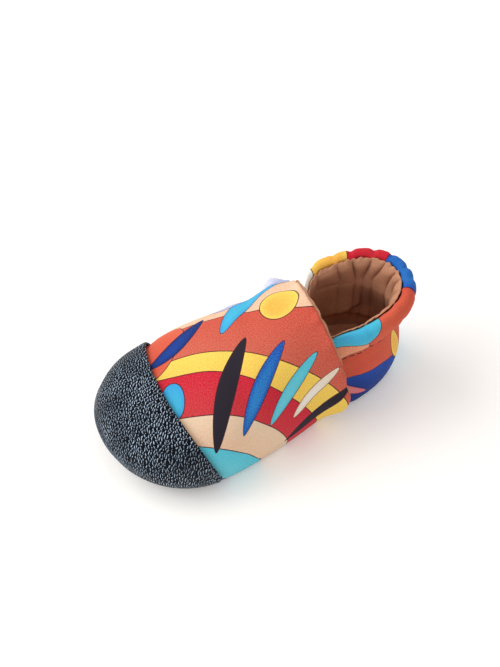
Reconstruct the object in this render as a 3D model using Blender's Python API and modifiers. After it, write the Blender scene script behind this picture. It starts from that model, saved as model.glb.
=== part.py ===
"""A toddler's soft barefoot slip-on shoe, for the left foot, in metres.

The toe points to -Y and +Z is up. The origin is on the floor, under the middle of the shoe.
One form, lofted from the section table of the last, gives every piece its surface: the vamp is
its skin, the back quarter lies one wall inside it, and the toe cap lies just outside it.
"""

import bmesh
import bpy
import numpy as np

# Driving dimensions
FORM_LENGTH = 0.1262
HEEL_Y = 0.0622
MIDDLE_X = -0.0004
HEEL_ROUND = 0.030
TOE_ROUND = 0.047
TOE_SWING = 0.0010
SWING_START = 0.5
CROWN_ROUND = 0.058
CROWN_TAPER = 2.6
TOE_SPRING = 0.0035
SPRING_START = 0.76
FEATHER_HEIGHT = 0.0045

UPPER_WALL = 0.0016
CAP_WALL = 0.0012
SOLE_WALL = 0.0018
INSOLE_WALL = 0.0024
GAP = 0.0003

THROAT_STATION = 0.0448
CORNER_STATION = 0.0230
EDGE_SOFTNESS = 0.35
LAP_FLARE = 0.0038
LAP_REACH = 0.011
LAP_ARCH = 1.1
LAP_SPAN = 0.6
LAP_FADE_ARCH = 1.2
LAP_FADE = 0.7

CAP_STATION = 0.1030
CAP_WING = 0.0220
CAP_EDGE = 1.66
CAP_TURN = 1.08

QUARTER_FRONT = 0.057
HEEL_SHARE = 0.5
TUCK_LENGTH = 0.012
TUCK_MARGIN = 0.002
SEAM_BITE = 0.0010
BITE_HEIGHT = 0.05
BITE_FADE = 0.10
SEAM_RISE = 0.0004
COLLAR_HEEL = 0.0505
COLLAR_FRONT = 0.0430
COLLAR_BEND = 1.5
GATHERS = 12
GATHER_DEPTH = 0.0009
GATHER_RISE = 0.0006

SECTION_FULLNESS = 2.3
CROWN_FULLNESS = 2.2

# The last, heel to toe: share of the length, half widths, the height of the arch's crown, the
# height of the widest line and how far the feather line lies inside it.
LAST_SECTIONS = np.array(
    [
        (0.000, 0.0208, 0.0195, 0.0870, 0.0140, 0.0028),
        (0.220, 0.0214, 0.0202, 0.0745, 0.0130, 0.0028),
        (0.360, 0.0243, 0.0234, 0.0575, 0.0115, 0.0032),
        (0.430, 0.0264, 0.0253, 0.0520, 0.0115, 0.0030),
        (0.680, 0.0321, 0.0306, 0.0405, 0.0115, 0.0030),
        (0.785, 0.0336, 0.0317, 0.0355, 0.0115, 0.0030),
        (0.880, 0.0342, 0.0323, 0.0365, 0.0115, 0.0030),
        (1.000, 0.0335, 0.0318, 0.0340, 0.0115, 0.0030),
    ],
    dtype=[
        ("share", float),
        ("lateral", float),
        ("medial", float),
        ("crown", float),
        ("belly", float),
        ("inset", float),
    ],
)

# The back quarter's cross-section, up the outside and down the lining: share of the wall's
# height, distance outside the wall, further flare at the heel, and share of the gathers.
QUARTER_FOLDS = np.array(
    [
        ("seam", 0.00, 0.0000, 0.0000, 0.0),
        ("counter", 0.16, 0.0000, 0.0000, 0.0),
        ("wall", 0.42, 0.0000, 0.0000, 0.1),
        ("under_stitch", 0.62, 0.0000, 0.0000, 0.4),
        ("stitch", 0.70, -0.0006, 0.0006, 0.5),
        ("casing_low", 0.78, 0.0012, 0.0014, 0.9),
        ("casing_full", 0.88, 0.0022, 0.0022, 1.0),
        ("casing_high", 0.96, 0.0016, 0.0024, 1.0),
        ("rim", 1.00, 0.0000, 0.0024, 1.0),
        ("lining_edge", 0.97, -0.0017, 0.0024, 1.0),
        ("lining_casing", 0.86, -0.0022, 0.0020, 0.9),
        ("lining_stitch", 0.70, -0.0022, 0.0006, 0.4),
        ("lining_wall", 0.42, -UPPER_WALL, 0.0000, 0.1),
        ("lining_counter", 0.16, -UPPER_WALL, 0.0000, 0.0),
        ("lining_seam", 0.02, -UPPER_WALL, 0.0000, 0.0),
        ("seam", 0.00, 0.0000, 0.0000, 0.0),
    ],
    dtype=[("fold", "U16"), ("height", float), ("outside", float), ("flare", float), ("gather", float)],
)

# The sole's cross-section from its rim to its tread: distance outside the feather line, height.
SOLE_FOLDS = np.array(
    [
        ("rim", 0.0008, 0.0042),
        ("side", 0.0006, 0.0026),
        ("turn", -0.0004, 0.0011),
        ("corner", -0.0020, 0.0002),
        ("tread_edge", -0.0036, 0.0000),
    ],
    dtype=[("fold", "U12"), ("outside", float), ("height", float)],
)
TREAD_SHARES = (0.66, 0.33, 0.0)
INSOLE_INSET = 0.0046

# Facets of each sheet: across the form, then along it.
VAMP_FACETS = (36, 18)
CAP_FACETS = (32, 10)
QUARTER_FACETS = 60
SOLE_FACETS = 32
INSOLE_CROSSINGS = 6
MERGE_DISTANCE = 1e-6

# Small steps that slopes are measured over, and the margin kept from the form's two ends.
PLAN_STEP = 0.0002
SKIN_STEP = 0.001
TURN_STEP = 0.004
END_MARGIN = 0.001

PRINTED_CLOTH = ("printed_cloth", (0.80, 0.22, 0.13, 1.0), 0.85)
PEBBLED_BLACK = ("pebbled_black", (0.012, 0.014, 0.018, 1.0), 0.45)
BROWN_COTTON = ("brown_cotton", (0.22, 0.10, 0.055, 1.0), 0.90)


def smooth(share):
    """A soft step from 0 to 1."""
    share = np.clip(share, 0.0, 1.0)
    return share * share * (3.0 - 2.0 * share)


def through(rows, values, at):
    """The smooth curve through a table's values, read at the given shares."""
    slope = np.gradient(values, rows)
    row = np.clip(np.searchsorted(rows, at) - 1, 0, len(rows) - 2)
    step = rows[row + 1] - rows[row]
    t = np.clip((at - rows[row]) / step, 0.0, 1.0)
    return (
        (1 + 2 * t) * (1 - t) ** 2 * values[row]
        + t * (1 - t) ** 2 * step * slope[row]
        + t * t * (3 - 2 * t) * values[row + 1]
        + t * t * (t - 1) * step * slope[row + 1]
    )


def end_round(station):
    """How far the outline has opened: 0 at the heel's back and the toe's tip, 1 between."""
    heel = np.clip((HEEL_ROUND - station) / HEEL_ROUND, 0.0, 1.0)
    toe = np.clip((station - FORM_LENGTH + TOE_ROUND) / TOE_ROUND, 0.0, 1.0)
    return np.sqrt(1.0 - heel**2) * (1.0 - toe**SECTION_FULLNESS) ** (1.0 / SECTION_FULLNESS)


def section(column, station):
    """A column of the last's table, read at a station."""
    return through(LAST_SECTIONS["share"], LAST_SECTIONS[column], station / FORM_LENGTH)


def half_width(station, side):
    """The outline's half width at its widest line, on the lateral (+1) or medial (-1) side."""
    wide = np.where(side > 0, section("lateral", station), section("medial", station))
    return wide * end_round(station)


def centre_line(station):
    """The last's middle, which swings to the medial side at the toe."""
    return MIDDLE_X - TOE_SWING * smooth((station / FORM_LENGTH - SWING_START) / (1.0 - SWING_START))


def crown_height(station):
    belly = section("belly", station)
    toe = np.clip((station - FORM_LENGTH + CROWN_ROUND) / CROWN_ROUND, 0.0, 1.0)
    full = (1.0 - toe**CROWN_TAPER) ** (1.0 / CROWN_FULLNESS)
    return belly + (section("crown", station) - belly) * full


def toe_spring(station):
    share = np.clip((station / FORM_LENGTH - SPRING_START) / (1.0 - SPRING_START), 0.0, 1.0)
    return TOE_SPRING * share**2


def outline_normal(station, side):
    """The outline's outward direction in plan, as its part across and its part towards the toe."""
    ahead = np.clip(station + PLAN_STEP, 0.0, FORM_LENGTH)
    behind = np.clip(station - PLAN_STEP, 0.0, FORM_LENGTH)
    slope = (half_width(ahead, side) - half_width(behind, side)) / (ahead - behind)
    size = np.hypot(1.0, slope)
    at_end = (station <= 0.0) | (station >= FORM_LENGTH)
    across = np.where(at_end, 0.0, side / size)
    forward = np.where(at_end, np.where(station <= 0.0, -1.0, 1.0), -slope / size)
    return across, forward


def form(station, arch):
    """The last's skin. arch is 0 on the crown, 1 at the widest line and 2 at the feather line,
    positive on the lateral side and negative on the medial side."""
    station, arch = np.broadcast_arrays(np.asarray(station, float), np.asarray(arch, float))
    side = np.where(arch >= 0.0, 1.0, -1.0)
    above = np.clip(np.abs(arch), 0.0, 1.0) * np.pi / 2
    below = np.clip(np.abs(arch) - 1.0, 0.0, 1.0) * np.pi / 2
    spread = np.sin(above) ** (2.0 / SECTION_FULLNESS)
    rise = np.cos(above) ** (2.0 / CROWN_FULLNESS)
    across, forward = outline_normal(station, side)
    inset = section("inset", station) * (1.0 - np.cos(below))
    belly = section("belly", station)

    heel_side = np.clip(HEEL_ROUND - station, 0.0, None)
    along = station + heel_side * (1.0 - spread) - inset * forward
    x = centre_line(station) + side * half_width(station, side) * spread - inset * across
    height = belly + (crown_height(station) - belly) * rise
    height = height - (belly - FEATHER_HEIGHT) * np.sin(below) + toe_spring(station)
    return np.stack([x, HEEL_Y - along, height], axis=-1)


def outward(surface, first, second):
    """Unit normals of surface(first, second), by small steps along both."""
    step = SKIN_STEP * FORM_LENGTH
    along_first = surface(first + step, second) - surface(first - step, second)
    along_second = surface(first, second + SKIN_STEP) - surface(first, second - SKIN_STEP)
    normal = np.cross(along_first, along_second)
    return normal / np.maximum(np.linalg.norm(normal, axis=-1, keepdims=True), 1e-12)


def fold_back(arch):
    """How far an edge across the form has swept back: 0 on the crown and 1 at the feather line."""
    full = np.hypot(2.0, EDGE_SOFTNESS) - EDGE_SOFTNESS
    return (np.hypot(arch, EDGE_SOFTNESS) - EDGE_SOFTNESS) / full


def throat_station(arch):
    """Where the vamp ends at the back: high on the crown, further back at its two low corners."""
    return THROAT_STATION + (CORNER_STATION - THROAT_STATION) * fold_back(arch)


def lap_flare(station, arch):
    """How far the vamp's free edge stands away from the quarter below it."""
    behind = (station - throat_station(arch)) / LAP_REACH
    low = np.exp(-(((np.abs(arch) - LAP_ARCH) / LAP_SPAN) ** 2))
    free = 1.0 - smooth((np.abs(arch) - LAP_FADE_ARCH) / LAP_FADE)
    return LAP_FLARE * np.exp(-(behind**2)) * low * free


def vamp_skin(along, across):
    arch = 4.0 * across - 2.0
    back = throat_station(arch)
    station = back + (FORM_LENGTH - back) * np.sin(along * np.pi / 2)
    inside = np.clip(station, END_MARGIN, FORM_LENGTH - END_MARGIN)
    return form(station, arch) + outward(form, inside, arch) * lap_flare(station, arch)[:, None]


def cap_skin(along, across):
    """The form under the toe cap, which stops just above the sole's rim."""
    arch = CAP_EDGE * (2.0 * across - 1.0)
    back = CAP_STATION - CAP_WING * fold_back(np.minimum(np.abs(arch), CAP_TURN))
    station = back + (FORM_LENGTH - back) * np.sin(along * np.pi / 2)
    return form(station, arch)


def quarter_path(turn):
    """The station and side at a share of the way round the heel, from -1 to 1."""
    share = np.abs(turn)
    round_heel = HEEL_ROUND * (1.0 - np.cos(np.clip(share / HEEL_SHARE, 0.0, 1.0) * np.pi / 2))
    past_heel = np.clip((share - HEEL_SHARE) / (1.0 - HEEL_SHARE), 0.0, 1.0)
    station = round_heel + (QUARTER_FRONT - HEEL_ROUND) * past_heel
    return station, np.where(turn >= 0.0, 1.0, -1.0)


def quarter_arch(turn, height):
    """The form's station and arch at a share of the quarter's height, from its seam to its rim."""
    station, side = quarter_path(turn)
    rim = COLLAR_HEEL + (COLLAR_FRONT - COLLAR_HEEL) * (station / QUARTER_FRONT) ** COLLAR_BEND
    lowest = FEATHER_HEIGHT + SEAM_RISE
    level = lowest + (rim - lowest) * height
    belly = section("belly", station)
    rise = (level - belly) / (crown_height(station) - belly)
    above = np.arccos(np.clip(rise, 0.0, 1.0) ** (CROWN_FULLNESS / 2)) / (np.pi / 2)
    drop = (belly - level) / (belly - FEATHER_HEIGHT)
    below = np.arcsin(np.clip(drop, 0.0, 1.0)) / (np.pi / 2)
    return station, side * (above + below)


def quarter_wall(turn, height):
    return form(*quarter_arch(turn, height))


def quarter_skin(along, across):
    """The quarter's closed section, swept round the heel from the medial to the lateral side.
    Where it goes under the vamp, it lies one wall inside it and its casing is pressed flat."""
    turn = 2.0 * along - 1.0
    fold = QUARTER_FOLDS[np.rint(across * (len(QUARTER_FOLDS) - 1)).astype(int)]
    height = fold["height"]
    station, arch = quarter_arch(turn, height)
    tuck = smooth((station - throat_station(arch) + TUCK_MARGIN) / TUCK_LENGTH + 1.0)
    bite = SEAM_BITE * (1.0 - smooth((height - BITE_HEIGHT) / BITE_FADE))
    inset = tuck * (UPPER_WALL + 2 * GAP - bite)

    wave = np.cos(turn * GATHERS * np.pi) * fold["gather"] * (1.0 - tuck)
    puffed = np.maximum(fold["outside"], 0.0) * tuck
    flare = fold["flare"] * (1.0 - smooth(station / HEEL_ROUND)) * (1.0 - tuck)
    outside = fold["outside"] - puffed + flare - inset + GATHER_DEPTH * wave
    round_heel = quarter_wall(turn + TURN_STEP, height) - quarter_wall(turn - TURN_STEP, height)
    upward = quarter_wall(turn, height + TURN_STEP) - quarter_wall(turn, height - TURN_STEP)
    normal = np.cross(upward, round_heel)
    normal /= np.linalg.norm(normal, axis=-1, keepdims=True)
    points = quarter_wall(turn, height) + normal * outside[:, None]
    points[:, 2] += GATHER_RISE * wave * height
    return points


def across_sole(across, folds, shares):
    """Where a crossing point lies: its fold out from the tread's edge, or its share of the width."""
    count = len(folds) + len(shares) - 1
    place = np.rint(np.abs(2.0 * across - 1.0) * count).astype(int)
    outer = len(folds) - 1
    fold = np.clip(count - place, 0, outer)
    inner = np.asarray((1.0, *shares))[np.clip(count - place - outer, 0, len(shares))]
    share = np.where(place <= count - outer, inner, 1.0)
    return fold, share, np.where(across >= 0.5, 1.0, -1.0)


def plan_point(station, side, outside, share, height):
    """A point of the sole, a distance outside the feather line and a share of the way across."""
    across, forward = outline_normal(station, side)
    grow = outside - section("inset", station)
    x = side * half_width(station, side) + grow * across
    along = station + grow * forward
    rise = toe_spring(station)
    return np.stack([centre_line(station) + x * share, HEEL_Y - along, height + rise], axis=-1)


def sole_station(along):
    return FORM_LENGTH * (1.0 - np.cos(along * np.pi)) / 2


def sole_skin(along, across):
    fold, share, side = across_sole(across, SOLE_FOLDS, TREAD_SHARES)
    station = sole_station(along)
    under_cap = smooth((station - CAP_STATION + 2 * CAP_WING) / (2 * CAP_WING))
    outside = SOLE_FOLDS["outside"][fold] + under_cap * CAP_WALL
    return plan_point(station, side, outside, share, SOLE_FOLDS["height"][fold])


def insole_skin(along, across):
    share = np.abs(2.0 * across - 1.0)
    side = np.where(across >= 0.5, 1.0, -1.0)
    height = np.full_like(along, SOLE_WALL + GAP)
    return plan_point(sole_station(along), side, -INSOLE_INSET, share, height)


def sheet(name, facets, skin):
    """An open sheet of facets[0] by facets[1] faces, laid on the surface skin(along, across)."""
    mesh = bpy.data.meshes.new(name)
    shape = bmesh.new()
    bmesh.ops.create_grid(shape, x_segments=facets[0], y_segments=facets[1], size=0.5)
    across = np.array([vert.co.x for vert in shape.verts]) + 0.5
    along = np.array([vert.co.y for vert in shape.verts]) + 0.5
    for vert, point in zip(shape.verts, skin(along, across)):
        vert.co = point
    bmesh.ops.remove_doubles(shape, verts=shape.verts, dist=MERGE_DISTANCE)
    bmesh.ops.dissolve_degenerate(shape, edges=shape.edges, dist=MERGE_DISTANCE)
    shape.to_mesh(mesh)
    shape.free()
    return bpy.data.objects.new(name, mesh)


def edit(obj, change):
    """Runs a bmesh change on an object's mesh."""
    shape = bmesh.new()
    shape.from_mesh(obj.data)
    change(shape)
    shape.to_mesh(obj.data)
    shape.free()


def grow(distance):
    """Moves a sheet along its own normals."""

    def change(shape):
        shape.normal_update()
        moves = [vert.normal * distance for vert in shape.verts]
        for vert, move in zip(shape.verts, moves):
            vert.co += move

    return change


def turn_over(shape):
    bmesh.ops.reverse_faces(shape, faces=shape.faces)


def close_ends(shape):
    """Closes the open ends of a swept section and turns its faces out."""
    bmesh.ops.holes_fill(shape, edges=[edge for edge in shape.edges if edge.is_boundary], sides=0)
    bmesh.ops.recalc_face_normals(shape, faces=shape.faces)


def thicken(obj, wall, outwards):
    solid = obj.modifiers.new("wall", "SOLIDIFY")
    solid.thickness = wall
    solid.offset = 1.0 if outwards else -1.0
    solid.use_even_offset = True
    solid.use_quality_normals = True


def finish(obj, collection, material):
    name, colour, roughness = material
    surface = bpy.data.materials.get(name) or bpy.data.materials.new(name)
    surface.use_nodes = True
    shader = surface.node_tree.nodes["Principled BSDF"]
    shader.inputs["Base Color"].default_value = colour
    shader.inputs["Roughness"].default_value = roughness
    obj.data.materials.append(surface)
    obj.data.shade_smooth()
    collection.objects.link(obj)
    return obj


def make_upper(collection, helpers):
    """The vamp and the back quarter, two walls that lap at the sides and join at the sole's seam."""
    upper = sheet("upper", VAMP_FACETS, vamp_skin)
    edit(upper, turn_over)
    thicken(upper, UPPER_WALL, outwards=False)
    quarter = sheet("quarter", (len(QUARTER_FOLDS) - 1, QUARTER_FACETS), quarter_skin)
    edit(quarter, close_ends)
    finish(quarter, helpers, PRINTED_CLOTH)
    quarter.hide_render = True
    quarter.display_type = "WIRE"
    join = upper.modifiers.new("side_seams", "BOOLEAN")
    join.operation = "UNION"
    join.object = quarter
    return finish(upper, collection, PRINTED_CLOTH)


def make_toe_cap(collection):
    cap = sheet("toe_cap", CAP_FACETS, cap_skin)
    edit(cap, turn_over)
    edit(cap, grow(GAP))
    thicken(cap, CAP_WALL, outwards=True)
    return finish(cap, collection, PEBBLED_BLACK)


def make_outsole(collection):
    crossings = 2 * (len(SOLE_FOLDS) + len(TREAD_SHARES) - 1)
    sole = sheet("outsole", (crossings, SOLE_FACETS), sole_skin)
    thicken(sole, SOLE_WALL, outwards=False)
    return finish(sole, collection, PEBBLED_BLACK)


def make_insole(collection):
    insole = sheet("insole", (INSOLE_CROSSINGS, SOLE_FACETS), insole_skin)
    thicken(insole, INSOLE_WALL, outwards=False)
    return finish(insole, collection, BROWN_COTTON)


def main():
    for old in list(bpy.data.objects):
        bpy.data.objects.remove(old)
    shoe = bpy.data.collections.new("barefoot_shoe")
    helpers = bpy.data.collections.new("helpers")
    bpy.context.scene.collection.children.link(shoe)
    bpy.context.scene.collection.children.link(helpers)
    make_outsole(shoe)
    make_insole(shoe)
    make_upper(shoe, helpers)
    make_toe_cap(shoe)


main()
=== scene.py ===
"""The looks of a toddler's soft barefoot slip-on shoe, for the left foot, in metres.

Every piece is laid on the same form as the solids: a printed cloth vamp and back quarter, their
brown cotton linings, a pebbled black toe cap and sole, and a brown insole.
"""

import math

import bmesh
import bpy
import numpy as np
from mathutils import Matrix, Vector


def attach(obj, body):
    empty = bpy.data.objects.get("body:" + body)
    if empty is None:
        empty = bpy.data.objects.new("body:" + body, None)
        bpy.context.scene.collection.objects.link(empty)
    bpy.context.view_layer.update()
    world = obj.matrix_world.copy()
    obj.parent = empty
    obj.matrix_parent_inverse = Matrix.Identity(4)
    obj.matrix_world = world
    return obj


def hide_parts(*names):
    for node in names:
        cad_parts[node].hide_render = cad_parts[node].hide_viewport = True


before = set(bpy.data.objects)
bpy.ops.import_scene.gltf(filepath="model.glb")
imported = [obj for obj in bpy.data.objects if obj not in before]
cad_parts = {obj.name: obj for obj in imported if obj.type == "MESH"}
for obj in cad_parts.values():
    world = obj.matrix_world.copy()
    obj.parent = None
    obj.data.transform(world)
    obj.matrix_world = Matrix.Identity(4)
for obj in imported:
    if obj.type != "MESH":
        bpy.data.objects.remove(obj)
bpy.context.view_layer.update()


def table(titles, *rows):
    """Rows with named columns, each of words or of numbers."""
    kinds = ["U14" if isinstance(value, str) else float for value in rows[0]]
    return np.array(list(rows), dtype=list(zip(titles.split(), kinds)))


# Sizes of the form, as in the solids. A station is a distance from the heel's back, and an arch
# is 0 on the crown, 1 at the widest line and 2 at the feather line.
FORM_LENGTH = 0.1262
HEEL_Y = 0.0622
MIDDLE_X = -0.0004
HEEL_ROUND = 0.030
TOE_ROUND = 0.047
TOE_SWING = 0.0010
SWING_START = 0.5
CROWN_ROUND = 0.058
CROWN_TAPER = 2.6
TOE_SPRING = 0.0035
SPRING_START = 0.76
FEATHER_HEIGHT = 0.0045
FEATHER_ARCH = 2.0
SECTION_FULLNESS = 2.3
CROWN_FULLNESS = 2.2

# Walls of the solids, and the room between them
UPPER_WALL = 0.0016
CAP_WALL = 0.0012
SOLE_WALL = 0.0018
INSOLE_WALL = 0.0024
GAP = 0.0003

# The vamp's rear edge, on the crown and at the feather line, and how its lap stands away
THROAT_STATION = 0.0448
CORNER_STATION = 0.0230
EDGE_SOFTNESS = 0.35
LAP_FLARE = 0.0038
LAP_REACH = 0.011
LAP_ARCH = 1.1
LAP_SPAN = 0.6
LAP_FADE_ARCH = 1.2
LAP_FADE = 0.7

# The toe cap's rear edge, which sweeps back to CAP_TURN and ends at CAP_EDGE
CAP_STATION = 0.1030
CAP_WING = 0.0220
CAP_EDGE = 1.66
CAP_TURN = 1.08

# The back quarter, how it is tucked under the vamp, and the height of its collar
QUARTER_FRONT = 0.057
HEEL_SHARE = 0.5
TUCK_LENGTH = 0.012
TUCK_MARGIN = 0.002
SEAM_RISE = 0.0004
COLLAR_HEEL = 0.0505
COLLAR_FRONT = 0.0430
COLLAR_BEND = 1.5

# The cloths that make up the upper's wall, and how much of the lining shows at the vamp's edge
CLOTH = 0.0008
LINING = 0.0005
LAYER_GAP = 0.0001
LINING_SHOWS = 0.0005

# The last, heel to toe: share of the length, half widths, the height of the arch's crown, the
# height of the widest line and how far the feather line lies inside it.
LAST_SECTIONS = table(
    "share lateral medial crown belly inset",
    (0.000, 0.0208, 0.0195, 0.0870, 0.0140, 0.0028),
    (0.220, 0.0214, 0.0202, 0.0745, 0.0130, 0.0028),
    (0.360, 0.0243, 0.0234, 0.0575, 0.0115, 0.0032),
    (0.430, 0.0264, 0.0253, 0.0520, 0.0115, 0.0030),
    (0.680, 0.0321, 0.0306, 0.0405, 0.0115, 0.0030),
    (0.785, 0.0336, 0.0317, 0.0355, 0.0115, 0.0030),
    (0.880, 0.0342, 0.0323, 0.0365, 0.0115, 0.0030),
    (1.000, 0.0335, 0.0318, 0.0340, 0.0115, 0.0030),
)

# The back quarter's printed cloth, from the sole's seam over the casing to its inner edge: share
# of the wall's height, distance outside the wall, further flare at the heel, share of the pleats.
QUARTER_FOLDS = table(
    "fold height outside flare gather",
    ("seam", 0.00, 0.0000, 0.0000, 0.00),
    ("counter", 0.16, 0.0004, 0.0000, 0.05),
    ("wall", 0.40, 0.0000, -0.0008, 0.25),
    ("under_stitch", 0.58, -0.0005, -0.0020, 0.60),
    ("stitch", 0.68, -0.0012, -0.0016, 1.00),
    ("casing_low", 0.75, 0.0006, 0.0004, 0.90),
    ("casing_full", 0.83, 0.0020, 0.0020, 0.70),
    ("casing_high", 0.91, 0.0026, 0.0024, 0.70),
    ("rim_outside", 0.975, 0.0018, 0.0024, 0.85),
    ("rim", 1.00, 0.0000, 0.0024, 1.00),
    ("rim_inside", 0.985, -0.0018, 0.0024, 1.00),
    ("inner_edge", 0.950, -0.0025, 0.0023, 0.80),
)

# Its lining, from the rim down to the insole, in the same columns.
LINING_FOLDS = table(
    "fold height outside flare gather",
    ("edge", 0.978, -0.0026, 0.0024, 0.10),
    ("hem", 0.955, -0.0029, 0.0023, 0.55),
    ("casing_high", 0.900, -0.0030, 0.0018, 1.00),
    ("casing_low", 0.760, -0.0030, 0.0002, 0.55),
    ("stitch", 0.690, -0.0026, -0.0015, 0.20),
    ("under_stitch", 0.620, -0.0022, -0.0018, 0.45),
    ("wall", 0.420, -0.0016, -0.0010, 0.50),
    ("counter", 0.160, -0.0014, 0.0000, 0.25),
    ("seam", 0.020, -0.0014, 0.0000, 0.00),
)

# The pleats that the elastic pulls into the casing: where each lies round the heel, from the
# medial (-1) to the lateral side (1), its depth, its half width round the heel, and how far it
# would lean round the heel from the rim to the sole.
PLEATS = table(
    "turn depth width lean",
    (-0.760, 0.45, 0.016, 0.02),
    (-0.655, 0.75, 0.018, -0.04),
    (-0.590, 0.40, 0.012, 0.03),
    (-0.510, 0.60, 0.014, 0.03),
    (-0.400, 0.65, 0.014, 0.10),
    (-0.315, 1.00, 0.016, 0.10),
    (-0.194, 1.00, 0.016, -0.22),
    (-0.097, 0.80, 0.014, -0.36),
    (0.012, 0.95, 0.014, -0.26),
    (0.079, 0.85, 0.018, -0.17),
    (0.160, 0.60, 0.014, -0.06),
    (0.265, 0.80, 0.018, 0.06),
    (0.350, 0.45, 0.014, -0.03),
    (0.455, 0.75, 0.018, -0.05),
    (0.560, 0.45, 0.014, 0.03),
    (0.680, 0.60, 0.018, 0.00),
)

# How far the pleats pull the cloth in, and down near the rim; the height where they stop leaning;
# how far the lining puffs in between them, and how wide its lines are beside their half widths.
PLEAT_DEPTH = 0.0007
PLEAT_DROP = 0.0006
PLEAT_DROP_START = 0.8
PLEAT_DROP_SPAN = 0.2
LEAN_END = 0.77
LINING_PUFF = 0.0021
PUFF_LINE = 1.1

# The shares of the pleats and of the puffs that are lost where the vamp holds the quarter down
PLEATS_HELD = 0.8
PUFFS_HELD = 0.7

# How far the quarter's cloth and its lining hang down at the sole's seam, the share of the height
# that hangs, and the height at which distances round the heel are measured.
SEAM_DROP = 0.0038
LINING_DROP = 0.0016
DROP_SHARE = 0.16
BELT_HEIGHT = 0.5

# The ruffle of the lining's upper edge: its height and its waves, in radians per metre
EDGE_RUFFLE = 0.0005
RUFFLE_RATE = 1500.0
RUFFLE_BEAT = 470.0
RUFFLE_START = 0.7
FINE_RUFFLE = 0.5
FINE_RUFFLE_RATE = 2300.0

# Where the loose lining sags over itself above the insole: the middle of each sag's lower edge
# round the heel and up the wall, its half length, its slope, how far up it swells, how far in it
# stands and how dark the painted shadow line under it is.
LINING_SAGS = table(
    "name turn height length slope swell depth dark",
    ("medial_sag", -0.345, 0.275, 0.095, 1.00, 0.16, 0.0024, 1.00),
    ("heel_sag", -0.265, 0.205, 0.110, -0.32, 0.12, 0.0016, 0.90),
)
SAG_EDGE = 0.022

# Painted shade in the lining's hollow at the heel, and how dark the painted shade in its creases
# gets
HOLLOW_TURN = -0.15
HOLLOW_HEIGHT = 0.48
HOLLOW_LENGTH = 0.15
HOLLOW_SWELL = 0.19
HOLLOW_PAINTED_SHADE = 0.60
LINING_PAINTED_SHADE = 0.75

# Soft troughs (negative) and ridges of the vamp, in the cloth's own plan: distance from the
# heel, distance round from the crown, direction, half length, half width and height.
CREASES = table(
    "name station round direction length width height",
    ("ball_fold", 0.078, 0.022, 82.0, 0.022, 0.0040, -0.00045),
    ("ball_ridge", 0.071, 0.018, 84.0, 0.022, 0.0040, 0.00035),
    ("instep_fold", 0.060, -0.016, 70.0, 0.016, 0.0035, -0.00060),
    ("instep_ridge", 0.066, -0.018, 72.0, 0.016, 0.0035, 0.00045),
    ("corner_fold", 0.043, 0.044, 150.0, 0.014, 0.0040, -0.00090),
    ("corner_ridge", 0.038, 0.051, 155.0, 0.012, 0.0040, 0.00050),
    ("side_fold", 0.082, 0.046, 20.0, 0.018, 0.0040, -0.00040),
    ("medial_fold", 0.050, -0.040, 30.0, 0.016, 0.0045, -0.00080),
    ("throat_dip", 0.052, 0.012, 95.0, 0.018, 0.0060, -0.00040),
    ("medial_puff", 0.0426, -0.032, 96.0, 0.017, 0.0060, 0.00820),
    ("lobe_puff", 0.0360, 0.0540, 60.0, 0.010, 0.0060, 0.00100),
)

# Where the creases end on the sides
CREASE_END_ARCH = 1.5
CREASE_FADE = 0.3

# The dip along the toe cap's seam, and how soon the vamp lies flat under the cap
SEAM_DIP = 0.0007
SEAM_DIP_REACH = 0.0030
UNDER_CAP_FADE = 0.004

# The vamp's free edge: its lobe on each side turns forward and curls in, its middle droops, its
# medial corner presses inwards, and it waves a little all along.
LOBE_CUT = 0.0180
LOBE_ARCH = 0.95
LOBE_SPAN = 1.05
LOBE_CURL = 0.0022
CURL_ARCH = 0.8
CURL_SPAN = 0.5
CURL_REACH = 0.0045
THROAT_DROOP = 0.0024
DROOP_ARCH = -0.12
DROOP_SPAN = 0.40
DROOP_FADE = 0.35
DROOP_REACH = 0.0085
THROAT_PRESS = 0.0072
PRESS_ARCH = -0.62
PRESS_SPAN = 0.36
PRESS_REACH = 0.0046
EDGE_WAVE = 0.0003
EDGE_WAVE_REACH = 0.003

# Waves along an edge: height, radians per metre of the cloth or per share of the lining, start.
EDGE_WAVES = ((1.0, 640.0, 0.0), (0.6, 1130.0, 1.0))
LINING_WAVES = ((0.25, 97.0, 0.0), (0.2, 171.0, 1.0))

# Where the lining stops showing past the vamp's edge, and where the vamp hangs at the sole's seam
MARGIN_ARCH = 1.0
MARGIN_FADE = 0.4
HANG_ARCH = 1.5
HANG_SPAN = 0.5

# How far the sole's rim is tucked in behind the toe cap, and where it rises to the cap
SOLE_TUCK = 0.0014
SOLE_RISE_LEAD = 0.0020
SOLE_RISE_LENGTH = 0.0070

# The sole's cross-section, from the middle of its tread over its rim to the middle of its seat:
# distance outside the feather line, share of the way across, height, and how far it widens under
# the toe cap.
SOLE_FOLDS = table(
    "fold outside share height widens",
    ("tread_middle", -0.0036, 0.0, 0.0000, 0.0),
    ("tread_edge", -0.0036, 1.0, 0.0000, 1.0),
    ("corner", -0.0020, 1.0, 0.0002, 1.0),
    ("turn", -0.0004, 1.0, 0.0011, 1.0),
    ("side", 0.0006, 1.0, 0.0026, 1.0),
    ("rim", 0.0008, 1.0, 0.0042, 1.0),
    ("rim_inside", -0.0008, 1.0, 0.0042, 0.5),
    ("inner_side", -0.0011, 1.0, 0.0028, 0.0),
    ("inner_corner", -0.0021, 1.0, 0.0020, 0.0),
    ("seat_edge", -0.0038, 1.0, SOLE_WALL, 0.0),
    ("seat_middle", -0.0038, 0.0, SOLE_WALL, 0.0),
)

# The insole: how far it lies inside the feather line, the border that turns up, where that
# starts on its way across, and its thickness as a share of its room.
INSOLE_INSET = 0.0011
INSOLE_BORDER = 0.0024
BORDER_START = 0.8
BORDER_SPAN = 0.2
INSOLE_PAD = 0.9

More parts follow.
